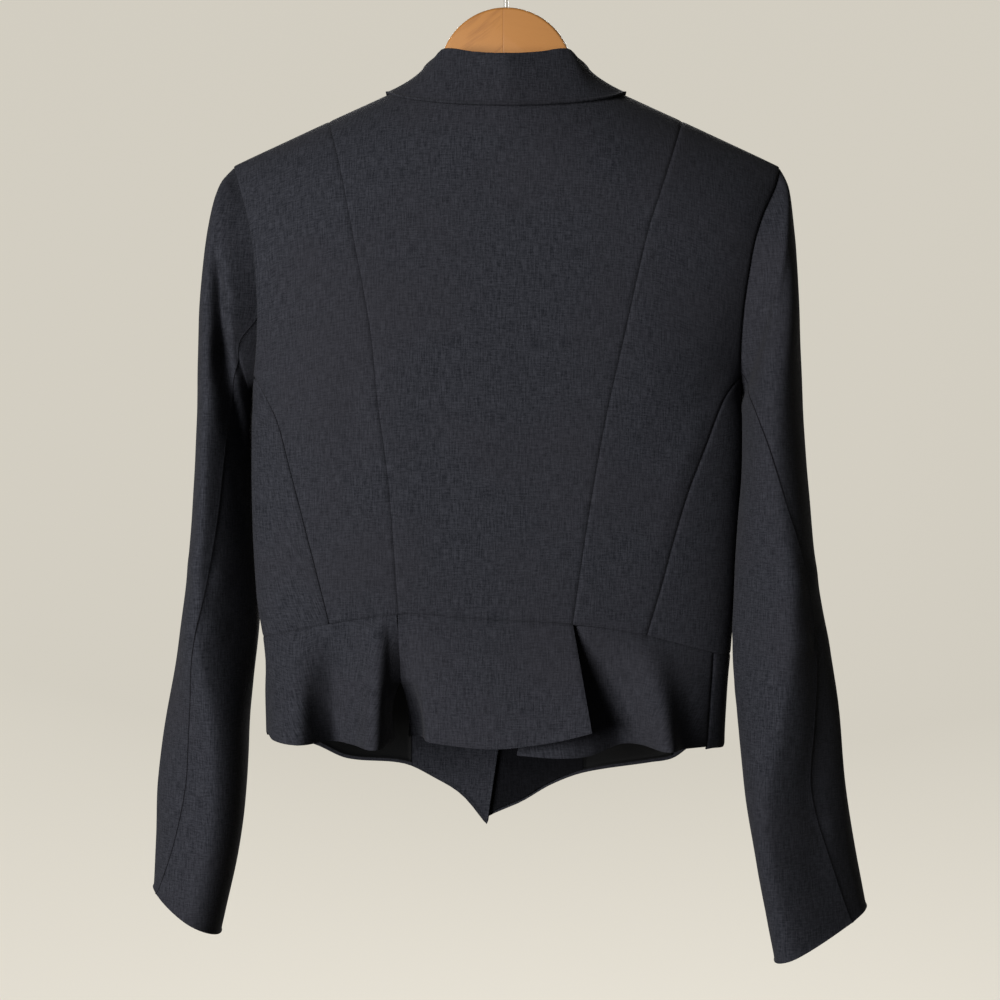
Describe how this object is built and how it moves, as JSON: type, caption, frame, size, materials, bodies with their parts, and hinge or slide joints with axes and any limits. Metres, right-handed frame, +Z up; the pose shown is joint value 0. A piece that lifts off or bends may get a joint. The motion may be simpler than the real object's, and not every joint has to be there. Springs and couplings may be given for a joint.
{
  "type": "cropped blazer on a hanger",
  "caption": "Dark wool cropped blazer with a flared back peplum and pointed fronts, hung on a wooden hanger by its wire hook.",
  "frame": {"origin": "inside top of the hanger's hook, where a rod or peg carries it", "axes": "+Z up, +X to the right as seen from behind the blazer, +Y from the blazer's back towards its front"},
  "size_m": [0.5442, 0.1674, 0.7687],
  "materials": {
    "suiting": "matt plain-weave wool suiting, dark charcoal navy",
    "lining": "black satin lining",
    "horn": "dark horn-like plastic, semi-matt",
    "wood": "honey-coloured clear varnish",
    "steel": "bright plated wire"
  },
  "bodies": {
    "root": {"back_centre": "suiting", "back_side_left": "suiting", "back_side_right": "suiting", "side_left": "suiting", "side_right": "suiting", "front_left": "suiting", "front_right": "suiting", "lapel_left": "suiting", "lapel_right": "suiting", "collar": "suiting", "sleeve_top_left": "suiting", "sleeve_top_right": "suiting", "sleeve_under_left": "suiting", "sleeve_under_right": "suiting", "peplum_left": "suiting", "peplum_centre": "suiting", "peplum_right": "suiting", "peplum_side_left": "suiting", "peplum_side_right": "suiting", "facing_left": "suiting", "facing_right": "suiting", "lining_left": "lining", "lining_right": "lining", "button": "horn", "hanger_body": "wood", "hanger_hook": "steel"}
  },
  "joints": []
}
